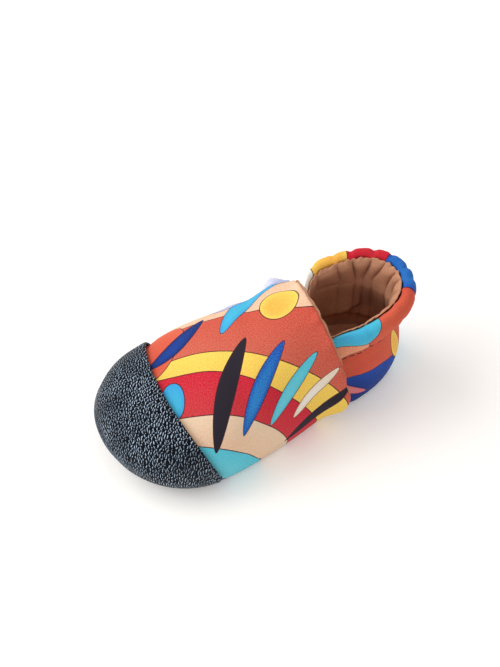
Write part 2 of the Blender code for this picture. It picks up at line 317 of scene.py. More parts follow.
# Stitches: length, spacing, the thread's radius, its facets, and how it bows out of the cloth
STITCH = 0.0025
STITCH_STEP = 0.0030
THREAD = 0.00016
THREAD_SIDES = 8
THREAD_RINGS = 7
THREAD_END = 0.02
STITCH_LIFT = 0.9
STITCH_SINK = 1.4
CASING_MARGIN = 0.10
LINING_MARGIN = 0.08

# The toe cap's rounded cut edge, the soft ridge round its front, the band there that is rubbed
# smooth and given a painted sheen, and its pebbles
CAP_EDGE_ROUND = 0.0016
CAP_CUT_SHARE = 0.35
CAP_LEATHER_SHARE = 0.8
CAP_RIDGE = 0.0008
CAP_RIDGE_ARCH = 0.95
CAP_RIDGE_SPAN = 0.070
CAP_RIDGE_RUN = 0.012
CAP_POLISH_SHEEN_SPAN = 0.09
CAP_POLISH_SHEEN_START = 0.113
PEBBLE = 0.00108
PEBBLE_RELIEF = 0.00024
PEBBLE_STRETCH = (0.8, 1.0, 1.0)
PEBBLE_WANDER = 1.2
PEBBLE_LIT_SIDE = (-0.00018, -0.00022, 0.0)

# Facets of each sheet: along the form, then across it.
VAMP_FACETS = (170, 250)
VAMP_LINING_FACETS = (90, 120)
QUARTER_FACETS = (330, 100)
LINING_FACETS = (330, 72)
CAP_FACETS = (150, 250)
SOLE_FACETS = (170, 60)
INSOLE_FACETS = (110, 44)

# Points closer than this are joined, and no length is divided by less than this
MERGE_DISTANCE = 1e-6
TINY = 1e-12

# Small steps that slopes are measured over
PLAN_STEP = 0.0002
TURN_STEP = 0.004

# The view: the photograph's frame in pixels, and where the camera stands.
PHOTO_HEIGHT = 667
FOCAL_PIXELS = 980.7
SENSOR = 36.0
VIEW_AZIMUTH = math.radians(63.83)
VIEW_ELEVATION = math.radians(53.53)
VIEW_ROLL = math.radians(0.59)
VIEW_DISTANCE = 0.3889
VIEW_TARGET = Vector((-0.0138, 0.0028, 0.0250))
VIEW_START = 0.01

# Colours as red, green and blue on a screen, from 0 to 255
PALETTE = {
    "crimson": (206, 20, 52),
    "coral": (206, 74, 58),
    "orange_coral": (222, 104, 74),
    "dusty_coral": (212, 132, 108),
    "peach": (240, 168, 130),
    "cream": (236, 212, 182),
    "white": (246, 246, 242),
    "turquoise": (78, 196, 218),
    "pale_turquoise": (134, 218, 228),
    "sky": (58, 158, 220),
    "royal": (30, 76, 174),
    "navy": (22, 38, 92),
    "yellow": (250, 216, 98),
    "orange": (244, 156, 62),
    "pink": (222, 112, 132),
    "sage": (178, 190, 178),
    "lavender": (150, 158, 214),
    "ink": (42, 35, 46),
    "outline": (78, 36, 44),
    "brown": (214, 156, 122),
    "brown_shade": (192, 136, 106),
    # painted shade of the lining's creases, sag lines and heel hollow
    "brown_painted_shade": (92, 52, 38),
    "black": (10, 17, 29),
    # painted shade in the leather's valleys
    "black_valley_shade": (4, 8, 16),
    # painted highlight on the lit side of the leather's grains
    "black_glint": (186, 204, 224),
    # painted sheen on the toe cap's smooth band
    "black_polish_sheen": (128, 140, 152),
    "thread": (58, 36, 32),
}

# The vamp's print: shapes painted one over the other, from the ground up. Each has its middle's
# distance from the heel and round from the crown, its direction, half length, half width, bend,
# fullness (1 is a lozenge, 2 an oval, more is boxier), its two colours and how far it fades.
PRINT_COLUMNS = "name ahead around direction length width bend fullness colour second fade"
VAMP_PRINT = table(
    PRINT_COLUMNS,
    ("coral_arc", 0.110, 0.066, -38, 0.100, 0.088, 0.0, 2.1, "coral", "dusty_coral", 0.9),
    ("yellow_arc", 0.112, 0.064, -44, 0.082, 0.070, 0.0, 2.1, "yellow", "orange", 0.8),
    ("crimson_arc", 0.114, 0.062, -50, 0.072, 0.061, 0.0, 2.1, "crimson", "dusty_coral", 0.35),
    ("cream_arc", 0.114, 0.060, -30, 0.053, 0.046, 0.0, 2.1, "cream", "peach", 0.9),
    ("sky_arc", 0.112, 0.064, -55, 0.043, 0.036, 0.0, 2.1, "turquoise", "pale_turquoise", 1.0),
    ("royal_arc", 0.108, 0.072, -30, 0.030, 0.024, 0.0, 2.1, "royal", "navy", 0.6),
    ("instep_stone", 0.054, -0.031, 24, 0.020, 0.013, 0.0, 2.3, "lavender", "white", 0.9),
    ("instep_leaf", 0.062, -0.015, 28, 0.016, 0.0036, 8.0, 1.7, "sky", "turquoise", 0.8),
    ("toe_stone", 0.099, -0.016, 36, 0.015, 0.0090, 0.0, 2.2, "orange_coral", "coral", 0.8),
    ("toe_leaf", 0.090, -0.013, 18, 0.014, 0.0032, -9.0, 1.6, "navy", "royal", 0.7),
    ("first_frond", 0.083, 0.016, 52, 0.020, 0.0034, 6.0, 1.7, "ink", "ink", 0.0),
    ("second_frond", 0.071, 0.021, 44, 0.017, 0.0030, 7.0, 1.7, "royal", "sky", 0.7),
    ("third_frond", 0.060, 0.028, 34, 0.014, 0.0028, 8.0, 1.7, "turquoise", "pale_turquoise", 0.6),
    ("fourth_frond", 0.051, 0.036, 24, 0.011, 0.0026, 9.0, 1.7, "cream", "white", 0.8),
    ("low_frond", 0.050, 0.049, 12, 0.015, 0.0026, 6.0, 1.7, "ink", "ink", 0.0),
    ("seam_stone", 0.101, 0.008, 70, 0.0070, 0.0042, 0.0, 2.2, "sky", "turquoise", 0.7),
    ("medial_moon", 0.079, -0.043, -25, 0.013, 0.0080, 0.0, 2.1, "turquoise", "sky", 0.7),
    ("medial_reed", 0.094, -0.037, 62, 0.013, 0.0030, 8.0, 1.7, "crimson", "coral", 0.6),
    ("medial_seed", 0.060, -0.055, 12, 0.013, 0.0030, 6.0, 1.7, "royal", "navy", 0.6),
    ("throat_sun", 0.053, -0.004, 0, 0.0064, 0.0064, 0.0, 2.0, "yellow", "orange", 0.7),
)
VAMP_GROUND = ("peach", "cream")

# The quarter's print, on distances round the heel from its back and up from the sole.
QUARTER_PRINT = table(
    PRINT_COLUMNS,
    ("low_hill", 0.036, -0.002, 0, 0.028, 0.022, 0.0, 2.1, "royal", "navy", 0.8),
    ("cream_side", 0.066, 0.002, 10, 0.018, 0.012, 0.0, 2.0, "cream", "sage", 0.6),
    ("back_hill", -0.010, 0.000, 0, 0.024, 0.024, 0.0, 2.1, "turquoise", "sky", 0.8),
    ("medial_hill", -0.052, 0.002, 0, 0.026, 0.026, 0.0, 2.1, "orange", "yellow", 0.8),
    ("near_casing", 0.056, 0.048, -4, 0.022, 0.016, 0.0, 2.4, "peach", "orange_coral", 0.9),
    ("side_casing", 0.022, 0.048, 4, 0.015, 0.016, 0.0, 2.4, "coral", "orange_coral", 0.8),
    ("heel_casing", 0.000, 0.050, 0, 0.010, 0.017, 0.0, 2.4, "royal", "sky", 0.4),
    ("red_casing", -0.017, 0.050, 0, 0.010, 0.017, 0.0, 2.4, "crimson", "coral", 0.3),
    ("sun_casing", -0.034, 0.050, 0, 0.010, 0.017, 0.0, 2.3, "yellow", "orange", 0.8),
    ("cream_casing", -0.050, 0.050, 0, 0.009, 0.016, 0.0, 2.4, "white", "cream", 0.6),
    ("sky_casing", -0.072, 0.048, 0, 0.015, 0.016, 0.0, 2.3, "turquoise", "sky", 0.7),
    ("side_leaf", 0.040, 0.046, -30, 0.013, 0.0046, 12.0, 1.8, "turquoise", "sky", 0.6),
    ("sun_leaf", 0.016, 0.019, 74, 0.011, 0.0032, 12.0, 1.8, "yellow", "orange", 0.6),
    ("pink_leaf", 0.044, 0.012, 34, 0.011, 0.0026, 12.0, 1.7, "pink", "peach", 0.5),
    ("back_leaf", -0.014, 0.020, 78, 0.012, 0.0034, 8.0, 1.6, "navy", "royal", 0.5),
    ("medial_leaf", -0.044, 0.022, 40, 0.014, 0.0040, 8.0, 1.6, "crimson", "coral", 0.6),
    ("medial_stone", -0.066, 0.016, -20, 0.009, 0.0050, 0.0, 2.0, "ink", "ink", 0.0),
)
QUARTER_GROUND = ("orange_coral", "coral")
PRINT_LINE = 0.00034


# The form, as in the solids


def smooth(share):
    """A soft step from 0 to 1."""
    share = np.clip(share, 0.0, 1.0)
    return share * share * (3.0 - 2.0 * share)


def bell(off, reach):
    """A soft hump: 1 in its middle, fading with the distance from it."""
    return np.exp(-((off / reach) ** 2))


def lower_down(arch, start, span):
    """0 on the form above an arch, on both sides, and 1 once a span below it."""
    return smooth((np.abs(arch) - start) / span)


def through(rows, values, at):
    """The smooth curve through a table's values, read at the given places."""
    slope = np.gradient(values, rows)
    row = np.clip(np.searchsorted(rows, at) - 1, 0, len(rows) - 2)
    step = rows[row + 1] - rows[row]
    t = np.clip((at - rows[row]) / step, 0.0, 1.0)
    return (
        (1 + 2 * t) * (1 - t) ** 2 * values[row]
        + t * (1 - t) ** 2 * step * slope[row]
        + t * t * (3 - 2 * t) * values[row + 1]
        + t * t * (t - 1) * step * slope[row + 1]
    )


def fold_value(folds, column, place):
    """A column of a fold table, read smoothly at a share of the way along its rows."""
    rows = np.arange(len(folds), dtype=float)
    return through(rows, folds[column], place * (len(folds) - 1))


def section(column, station):
    """A size of the last at a station."""
    return through(LAST_SECTIONS["share"], LAST_SECTIONS[column], station / FORM_LENGTH)


def end_round(station):
    """How far the outline has opened: 0 at the heel's back and the toe's tip, 1 between."""
    heel = np.clip((HEEL_ROUND - station) / HEEL_ROUND, 0.0, 1.0)
    toe = np.clip((station - FORM_LENGTH + TOE_ROUND) / TOE_ROUND, 0.0, 1.0)
    return np.sqrt(1.0 - heel**2) * (1.0 - toe**SECTION_FULLNESS) ** (1.0 / SECTION_FULLNESS)


def half_width(station, side):
    wide = np.where(side > 0, section("lateral", station), section("medial", station))
    return wide * end_round(station)


def centre_line(station):
    ahead = (station / FORM_LENGTH - SWING_START) / (1.0 - SWING_START)
    return MIDDLE_X - TOE_SWING * smooth(ahead)


def crown_height(station):
    belly = section("belly", station)
    toe = np.clip((station - FORM_LENGTH + CROWN_ROUND) / CROWN_ROUND, 0.0, 1.0)
    full = (1.0 - toe**CROWN_TAPER) ** (1.0 / CROWN_FULLNESS)
    return belly + (section("crown", station) - belly) * full


def toe_spring(station):
    share = np.clip((station / FORM_LENGTH - SPRING_START) / (1.0 - SPRING_START), 0.0, 1.0)
    return TOE_SPRING * share**2


def outline_normal(station, side):
    """The outline's outward direction in plan, as its part across and its part towards the toe."""
    ahead = np.clip(station + PLAN_STEP, 0.0, FORM_LENGTH)
    behind = np.clip(station - PLAN_STEP, 0.0, FORM_LENGTH)
    slope = (half_width(ahead, side) - half_width(behind, side)) / (ahead - behind)
    size = np.hypot(1.0, slope)
    at_end = (station <= 0.0) | (station >= FORM_LENGTH)
    across = np.where(at_end, 0.0, side / size)
    forward = np.where(at_end, np.where(station <= 0.0, -1.0, 1.0), -slope / size)
    return across, forward


def form(station, arch):
    """The last's skin. arch is 0 on the crown, 1 at the widest line and 2 at the feather line,
    positive on the lateral side and negative on the medial side."""
    station, arch = np.broadcast_arrays(np.asarray(station, float), np.asarray(arch, float))
    side = np.where(arch >= 0.0, 1.0, -1.0)
    above = np.clip(np.abs(arch), 0.0, 1.0) * np.pi / 2
    below = np.clip(np.abs(arch) - 1.0, 0.0, 1.0) * np.pi / 2
    spread = np.sin(above) ** (2.0 / SECTION_FULLNESS)
    rise = np.cos(above) ** (2.0 / CROWN_FULLNESS)
    across, forward = outline_normal(station, side)
    inset = section("inset", station) * (1.0 - np.cos(below))
    belly = section("belly", station)

    heel_side = np.clip(HEEL_ROUND - station, 0.0, None)
    along = station + heel_side * (1.0 - spread) - inset * forward
    x = centre_line(station) + side * half_width(station, side) * spread - inset * across
    height = belly + (crown_height(station) - belly) * rise
    height = height - (belly - FEATHER_HEIGHT) * np.sin(below) + toe_spring(station)
    return np.stack([x, HEEL_Y - along, height], axis=-1)


def fold_back(arch):
    """How far an edge across the form has swept back: 0 on the crown and 1 at the feather line."""
    full = np.hypot(FEATHER_ARCH, EDGE_SOFTNESS) - EDGE_SOFTNESS
    return (np.hypot(arch, EDGE_SOFTNESS) - EDGE_SOFTNESS) / full


def throat_station(arch):
    return THROAT_STATION + (CORNER_STATION - THROAT_STATION) * fold_back(arch)


def cap_station(arch):
    return CAP_STATION - CAP_WING * fold_back(np.minimum(np.abs(arch), CAP_TURN))


def lap_flare(station, arch):
    """How far the vamp's free edge stands away from the quarter below it."""
    near_edge = bell(station - throat_station(arch), LAP_REACH)
    low = bell(np.abs(arch) - LAP_ARCH, LAP_SPAN)
    free = 1.0 - lower_down(arch, LAP_FADE_ARCH, LAP_FADE)
    return LAP_FLARE * near_edge * low * free


def quarter_path(turn):
    """The station and side at a share of the way round the heel, from -1 to 1."""
    share = np.abs(turn)
    round_heel = HEEL_ROUND * (1.0 - np.cos(np.clip(share / HEEL_SHARE, 0.0, 1.0) * np.pi / 2))
    past_heel = np.clip((share - HEEL_SHARE) / (1.0 - HEEL_SHARE), 0.0, 1.0)
    station = round_heel + (QUARTER_FRONT - HEEL_ROUND) * past_heel
    return station, np.where(turn >= 0.0, 1.0, -1.0)


def quarter_arch(turn, height):
    """The form's station and arch at a share of the quarter's height, from its seam to its rim."""
    station, side = quarter_path(turn)
    rim = COLLAR_HEEL + (COLLAR_FRONT - COLLAR_HEEL) * (station / QUARTER_FRONT) ** COLLAR_BEND
    lowest = FEATHER_HEIGHT + SEAM_RISE
    level = lowest + (rim - lowest) * height
    belly = section("belly", station)
    rise = (level - belly) / (crown_height(station) - belly)
    above = np.arccos(np.clip(rise, 0.0, 1.0) ** (CROWN_FULLNESS / 2)) / (np.pi / 2)
    drop = (belly - level) / (belly - FEATHER_HEIGHT)
    below = np.arcsin(np.clip(drop, 0.0, 1.0)) / (np.pi / 2)
    return station, side * (above + below)


def quarter_wall(turn, height):
    return form(*quarter_arch(turn, height))


# Sheets of cloth and leather


def share_grid(facets):
    """Shares along and across a sheet, as two arrays of its points."""
    along = np.linspace(0.0, 1.0, facets[0] + 1)
    across = np.linspace(0.0, 1.0, facets[1] + 1)
    return np.meshgrid(along, across, indexing="ij")


def towards_toe(back, along):
    """Stations from an edge to the toe's tip, closer together at the tip."""
    return back + (FORM_LENGTH - back) * np.sin(along * np.pi / 2)


def whole_length(along):
    """Stations from the heel to the toe, closer together at both ends."""
    return FORM_LENGTH * (1.0 - np.cos(along * np.pi)) / 2


def waves(along, table):
    """The sum of a table's waves along an edge."""
    return sum(height * np.sin(along * rate + start) for height, rate, start in table)


def sheet_normals(points):
    """Unit normals of a grid of points, across its rows and then along its columns."""
    along = np.gradient(points, axis=0)
    across = np.gradient(points, axis=1)
    normal = np.cross(along, across)
    return normal / np.maximum(np.linalg.norm(normal, axis=-1, keepdims=True), TINY)


def distance_round(points, axis, start):
    """The distance along each row or column of a grid, from the given index."""
    steps = np.linalg.norm(np.diff(points, axis=axis), axis=-1)
    total = np.insert(np.cumsum(steps, axis=axis), 0, 0.0, axis=axis)
    return total - np.take(total, [start], axis=axis)


def place_object(name, data):
    """A new object in the scene, of a mesh, a lens or a lamp."""
    placed = bpy.data.objects.new(name, data)
    bpy.context.scene.collection.objects.link(placed)
    return placed


def sheet(name, points, place, outward_is_along_first=True, mark=None):
    """A mesh object on a grid of points. place holds each point's spot on the flat cloth, and
    mark, on leather, how far it is rubbed smooth and given a painted sheen, and on cotton, how
    much painted shade it gets there."""
    rows, columns = points.shape[:2]
    index = np.arange(rows * columns).reshape(rows, columns)
    corners = [index[:-1, :-1], index[1:, :-1], index[1:, 1:], index[:-1, 1:]]
    if not outward_is_along_first:
        corners.reverse()
    faces = np.stack(corners, axis=-1).reshape(-1, 4)
    mesh = bpy.data.meshes.new(name)
    mesh.from_pydata(points.reshape(-1, 3).tolist(), [], faces.tolist())
    spot = mesh.attributes.new("flat_spot", "FLOAT_VECTOR", "POINT")
    spot.data.foreach_set("vector", place.reshape(-1).astype(np.float32))
    if mark is not None:
        marked = mesh.attributes.new("mark", "FLOAT", "POINT")
        marked.data.foreach_set("value", mark.reshape(-1).astype(np.float32))
    shape = bmesh.new()
    shape.from_mesh(mesh)
    bmesh.ops.remove_doubles(shape, verts=shape.verts, dist=MERGE_DISTANCE)
    bmesh.ops.dissolve_degenerate(shape, edges=shape.edges, dist=MERGE_DISTANCE)
    shape.to_mesh(mesh)
    shape.free()
    mesh.shade_smooth()
    return place_object(name, mesh)


def thicken(piece, wall):
    """Gives a sheet its thickness, inwards from the side that shows."""
    solid = piece.modifiers.new("wall", "SOLIDIFY")
    solid.thickness = wall
    solid.offset = -1.0
    solid.use_even_offset = False
    solid.use_quality_normals = True


def settle(piece, node, material):
    """Gives a piece its material, and its place among the solids."""
    piece.data.materials.append(material)
    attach(piece, "root")
    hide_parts(node)


def flat_place(first, second):
    return np.stack([first, second, np.zeros_like(first)], axis=-1)


# The vamp


def crease_relief(station, around):
    """The height of the vamp's creases at a spot of its flat cloth."""
    relief = np.zeros_like(station)
    for crease in CREASES:
        turn = math.radians(crease["direction"])
        ahead = station - crease["station"]
        aside = around - crease["round"]
        along = ahead * math.cos(turn) + aside * math.sin(turn)
        off = aside * math.cos(turn) - ahead * math.sin(turn)
        away = (off / crease["width"]) ** 2 + (along / crease["length"]) ** 2
        relief += crease["height"] * np.exp(-away)
    return relief


def edge_station(arch):
    """The vamp's free edge, which turns forward under the side as a lobe."""
    return throat_station(arch) + LOBE_CUT * lower_down(arch, LOBE_ARCH, LOBE_SPAN)


def throat_press(station, arch):
    """How far the vamp's medial corner presses itself and the quarter inwards."""
    from_edge = (station - edge_station(arch)) / PRESS_REACH
    from_corner = (arch - PRESS_ARCH) / PRESS_SPAN
    return THROAT_PRESS * np.exp(-(from_edge**2) - from_corner**2)


def vamp_points(facets, past_edge, seam_drop):
    """The vamp's outer face, past_edge behind its cut edge, and its spots on the flat cloth."""
    along, across = share_grid(facets)
    arch = FEATHER_ARCH * (2.0 * across - 1.0)
    back = edge_station(arch) - past_edge * (1.0 - lower_down(arch, MARGIN_ARCH, MARGIN_FADE))
    station = towards_toe(back, along)
    points = form(station, arch)
    around = distance_round(points, 1, facets[1] // 2)
    normal = sheet_normals(points)
    from_edge = station - edge_station(arch)
    ahead = np.maximum(from_edge, 0.0)
    on_crown = 1.0 - lower_down(arch - DROOP_ARCH, DROOP_SPAN, DROOP_FADE)
    droop = THROAT_DROOP * on_crown * bell(ahead, DROOP_REACH)
    wave = EDGE_WAVE * waves(around, EDGE_WAVES) * bell(ahead, EDGE_WAVE_REACH)
    curl = LOBE_CURL * lower_down(arch, CURL_ARCH, CURL_SPAN)
    curl = curl * np.clip(1.0 - from_edge / CURL_REACH, 0.0, 1.0) ** 2
    seam = bell(station - cap_station(arch), SEAM_DIP_REACH)
    relief = crease_relief(station, around) - SEAM_DIP * seam - droop + wave - curl
    relief -= throat_press(station, arch)
    relief = relief * (1.0 - lower_down(arch, CREASE_END_ARCH, CREASE_FADE))
    relief = relief + lap_flare(station, arch)
    free = 1.0 - smooth((station - cap_station(arch)) / UNDER_CAP_FADE)
    points = points + normal * (relief * free)[..., None]
    points[..., 2] -= seam_drop * lower_down(arch, HANG_ARCH, HANG_SPAN) * free
    return points, flat_place(station, around)


def make_vamp(printed, cotton):
    points, place = vamp_points(VAMP_FACETS, 0.0, SEAM_DROP)
    cloth = sheet("vamp_cloth", points, place)
    thicken(cloth, CLOTH)
    settle(cloth, "upper", printed)

    _, across = share_grid(VAMP_LINING_FACETS)
    shows = LINING_SHOWS * (1.0 + waves(across, LINING_WAVES))
    points, place = vamp_points(VAMP_LINING_FACETS, shows, 0.0)
    points = points - sheet_normals(points) * (CLOTH + LAYER_GAP)
    lining = sheet("vamp_lining", points, place)
    thicken(lining, LINING)
    settle(lining, "upper", cotton)


# The back quarter, with its gathered casing


def from_pleat(fold, turn, height):
    """The distance from a pleat's line, which leans in the casing and runs straight below it."""
    return turn - fold["turn"] - fold["lean"] * (1.0 - np.maximum(height, LEAN_END))


def pleat(turn, height):
    """How far a place round the heel is pulled into a pleat, from 0 to 1."""
    pulled = np.zeros_like(turn)
    for fold in PLEATS:
        pulled += fold["depth"] * bell(from_pleat(fold, turn, height), fold["width"])
    return np.minimum(pulled, 1.0)


def lining_puff(turn, height):
    """How far the lining stands in between its pleats, with a sharp line at each."""
    puff = np.ones_like(turn)
    for fold in PLEATS:
        off = from_pleat(fold, turn, height)
        puff *= 1.0 - fold["depth"] * np.exp(-np.abs(off) / (PUFF_LINE * fold["width"]))
    return puff


def lining_sags(turn, height):
    """How far the lining sags inwards, and how dark the painted shadow line under each sag is."""
    inwards = np.zeros_like(turn)
    dark = np.zeros_like(turn)
    for sag in LINING_SAGS:
        ahead = turn - sag["turn"]
        above = height - sag["height"] - sag["slope"] * ahead
        along = np.exp(-((ahead / sag["length"]) ** 4))
        reach = np.where(above > 0.0, sag["swell"], SAG_EDGE)
        inwards += sag["depth"] * along * bell(above, reach)
        dark += sag["dark"] * along * bell(above + SAG_EDGE, SAG_EDGE)
    return inwards, dark


def lining_shade(facets):
    """How much painted shade lies in the lining's creases, under its sags and in the heel's hollow.
    """
    along, across = share_grid(facets)
    turn = 2.0 * along - 1.0
    height = fold_value(LINING_FOLDS, "height", across)
    gather = fold_value(LINING_FOLDS, "gather", across)
    creased = (1.0 - lining_puff(turn, height)) ** 2 * gather
    _, dark = lining_sags(turn, height)
    aside = (turn - HOLLOW_TURN) / HOLLOW_LENGTH
    above = (height - HOLLOW_HEIGHT) / HOLLOW_SWELL
    hollow = HOLLOW_PAINTED_SHADE * np.exp(-(aside**2) - above**2)
    return np.clip(creased + dark + hollow, 0.0, 1.0)


def quarter_points(facets, folds, lining):
    """A layer of the quarter swept round the heel, and its spots on the flat cloth."""
    along, across = share_grid(facets)
    turn = 2.0 * along - 1.0
    height = fold_value(folds, "height", across)
    gather = fold_value(folds, "gather", across)
    station, arch = quarter_arch(turn, height)
    tuck = smooth((station - edge_station(arch) + TUCK_MARGIN) / TUCK_LENGTH + 1.0)
    outside = fold_value(folds, "outside", across)
    outside = outside - np.maximum(outside, 0.0) * tuck
    at_heel = 1.0 - smooth(station / HEEL_ROUND)
    flare = fold_value(folds, "flare", across) * at_heel * (1.0 - tuck)
    pulled = pleat(turn, height) * gather * (1.0 - PLEATS_HELD * tuck)
    relief = -PLEAT_DEPTH * pulled
    if lining:
        relief = -LINING_PUFF * lining_puff(turn, height) * gather * (1.0 - PUFFS_HELD * tuck)
        relief -= lining_sags(turn, height)[0]
    outside = outside + flare + relief - tuck * (UPPER_WALL + 2 * GAP)
    outside = outside - throat_press(station, arch)

    round_heel = quarter_wall(turn + TURN_STEP, height) - quarter_wall(turn - TURN_STEP, height)
    upward = quarter_wall(turn, height + TURN_STEP) - quarter_wall(turn, height - TURN_STEP)
    normal = np.cross(upward, round_heel)
    normal /= np.linalg.norm(normal, axis=-1, keepdims=True)
    wall = quarter_wall(turn, height)
    points = wall + normal * outside[..., None]
    near_rim = smooth((height - PLEAT_DROP_START) / PLEAT_DROP_SPAN)
    points[..., 2] -= PLEAT_DROP * pulled * near_rim
    drop = LINING_DROP if lining else SEAM_DROP
    points[..., 2] -= drop * (1.0 - smooth(height / DROP_SHARE))

    belt = quarter_wall(turn[:, :1], np.full_like(turn[:, :1], BELT_HEIGHT))
    around = distance_round(belt, 0, facets[0] // 2) + np.zeros_like(turn)
    if lining:
        ruffle = np.sin(around * RUFFLE_RATE) * np.sin(around * RUFFLE_BEAT + RUFFLE_START)
        ruffle = ruffle + FINE_RUFFLE * np.sin(around * FINE_RUFFLE_RATE)
        at_edge = np.clip(1.0 - across * (len(folds) - 1), 0.0, 1.0)
        points[..., 2] += EDGE_RUFFLE * ruffle * at_edge
    up = distance_round(points, 1, facets[1] if lining else 0)
    return points, flat_place(around, np.abs(up))


def make_quarter(printed, cotton):
    points, place = quarter_points(QUARTER_FACETS, QUARTER_FOLDS, lining=False)
    cloth = sheet("quarter_cloth", points, place, outward_is_along_first=False)
    thicken(cloth, CLOTH)
    settle(cloth, "upper", printed)
    points, place = quarter_points(LINING_FACETS, LINING_FOLDS, lining=True)
    lining = sheet("quarter_lining", points, place, mark=lining_shade(LINING_FACETS))
    thicken(lining, LINING)
    settle(lining, "upper", cotton)


# Stitches


def along_path(at, run, values):
    """Points or directions of a path, read at distances along it."""
    return np.stack([np.interp(at, run, values[:, k]) for k in range(3)], axis=-1)


def stitch_row(name, path, normal, material):
    """A row of thread stitches that lie on a path over a cloth."""
    steps = np.linalg.norm(np.diff(path, axis=0), axis=1)
    run = np.insert(np.cumsum(steps), 0, 0.0)
    turns = np.linspace(0.0, 2 * np.pi, THREAD_SIDES, endpoint=False)
    bow = np.linspace(-1.0, 1.0, THREAD_RINGS)
    points, faces = [], []
    for start in np.arange(STITCH_STEP, run[-1] - STITCH, STITCH_STEP):
        at = start + (bow + 1.0) * STITCH / 2
        middle = along_path(at, run, path)
        lift = along_path(at, run, normal)
        ahead = np.gradient(middle, axis=0)
        ahead /= np.linalg.norm(ahead, axis=1, keepdims=True)
        aside = np.cross(lift, ahead)
        thick = THREAD * np.sqrt(np.clip(1.0 + THREAD_END - bow**4, THREAD_END, 1.0))
        middle = middle + lift * (THREAD * (STITCH_LIFT - STITCH_SINK * bow**4))[:, None]
        outward = aside[:, None] * np.cos(turns)[None, :, None]
        outward = outward + lift[:, None] * np.sin(turns)[None, :, None]
        ring = middle[:, None] + thick[:, None, None] * outward
        first = len(points)
        points += ring.reshape(-1, 3).tolist()
        for row in range(THREAD_RINGS - 1):
            for k in range(THREAD_SIDES):
                low = first + row * THREAD_SIDES
                high = low + THREAD_SIDES
                after = (k + 1) % THREAD_SIDES
                faces.append((low + k, low + after, high + after, high + k))
        faces.append(tuple(range(first + THREAD_SIDES - 1, first - 1, -1)))
        last = first + (THREAD_RINGS - 1) * THREAD_SIDES
        faces.append(tuple(range(last, last + THREAD_SIDES)))
    mesh = bpy.data.meshes.new(name)
    mesh.from_pydata(points, [], faces)
    mesh.shade_smooth()
    settle(place_object(name, mesh), "upper", material)


def stitch_line(facets, folds, lining, margin):
    """The casing's seam on a layer of the quarter, and which way the cloth faces along it."""
    points, _ = quarter_points(facets, folds, lining)
    normal = sheet_normals(points) if lining else -sheet_normals(points)
    row = list(folds["fold"]).index("stitch")
    seam = round(facets[1] * row / (len(folds) - 1))
    shown = slice(round(facets[0] * margin), round(facets[0] * (1.0 - margin)))
    return points[shown, seam], normal[shown, seam]


def make_stitches(thread):
    line = stitch_line(QUARTER_FACETS, QUARTER_FOLDS, False, CASING_MARGIN)
    stitch_row("casing_stitches", *line, thread)
    line = stitch_line(LINING_FACETS, LINING_FOLDS, True, LINING_MARGIN)
    stitch_row("lining_stitches", *line, thread)


# The toe cap


def make_toe_cap(leather):
    along, across = share_grid(CAP_FACETS)
    arch = CAP_EDGE * (2.0 * across - 1.0)
    back = cap_station(arch)
    station = towards_toe(back, along)
    points = form(station, arch)
    normal = sheet_normals(points)
    normal[-1] = (0.0, -1.0, 0.0)
    from_edge = np.minimum((station - back) / CAP_EDGE_ROUND, 1.0)
    rounded = np.sqrt(1.0 - (1.0 - from_edge) ** 2)
    off_ridge = np.abs(arch) - CAP_RIDGE_ARCH
    ridge = bell(off_ridge, CAP_RIDGE_SPAN)
    front = smooth((station - CAP_STATION) / CAP_RIDGE_RUN)
    wall = CAP_WALL * (CAP_CUT_SHARE + (1.0 - CAP_CUT_SHARE) * rounded)
    lift = GAP + wall + CAP_RIDGE * ridge * front
    points = points + normal * lift[..., None]
    from_top = points - points[0, CAP_FACETS[1] // 2]
    reach = np.linalg.norm(from_top, axis=-1)
    flat = np.maximum(np.hypot(from_top[..., 0], from_top[..., 1]), TINY)
    place = flat_place(reach * from_top[..., 0] / flat, reach * from_top[..., 1] / flat)
    # The smooth band round the cap's front flattens the grain and carries a painted sheen
    in_front = smooth((station - CAP_POLISH_SHEEN_START) / (FORM_LENGTH - CAP_POLISH_SHEEN_START))
    polish_and_sheen = bell(off_ridge, CAP_POLISH_SHEEN_SPAN) * in_front
    cap = sheet("toe_cap_leather", points, place, mark=polish_and_sheen)
    thicken(cap, CAP_WALL * CAP_LEATHER_SHARE)
    settle(cap, "toe_cap", leather)


# The sole and the insole


def plan_point(station, side, outside, share, height):
    """A point of the sole, a distance outside the feather line and a share of the way across."""
    across, forward = outline_normal(station, side)
    grow = outside - section("inset", station)
    x = side * half_width(station, side) + grow * across
    along = station + grow * forward
    rise = toe_spring(station)
    return np.stack([centre_line(station) + x * share, HEEL_Y - along, height + rise], axis=-1)


def make_sole(leather):
    along, around = share_grid(SOLE_FACETS)
    station = whole_length(along)
    under_cap = smooth((station - cap_station(CAP_EDGE) + SOLE_RISE_LEAD) / SOLE_RISE_LENGTH)
    side = np.where(around < 0.5, 1.0, -1.0)
    place = 1.0 - np.abs(2.0 * around - 1.0)
    rows = np.arange(len(SOLE_FOLDS), dtype=float)
    share = np.interp(place * rows[-1], rows, SOLE_FOLDS["share"])
    widens = np.interp(place * rows[-1], rows, SOLE_FOLDS["widens"])
    wider = under_cap * (CAP_WALL + SOLE_TUCK) - SOLE_TUCK
    outside = fold_value(SOLE_FOLDS, "outside", place) + widens * wider
    height = np.maximum(fold_value(SOLE_FOLDS, "height", place), 0.0)
    height = np.where(height > SOLE_WALL, SOLE_WALL + (height - SOLE_WALL) * under_cap, height)
    points = plan_point(station, side, outside, share, height)
    across, forward = outline_normal(station, side)
    place = flat_place(points[..., 0] + across * height, points[..., 1] - forward * height)
    sole = sheet("sole_leather", points, place, outward_is_along_first=False)
    settle(sole, "outsole", leather)


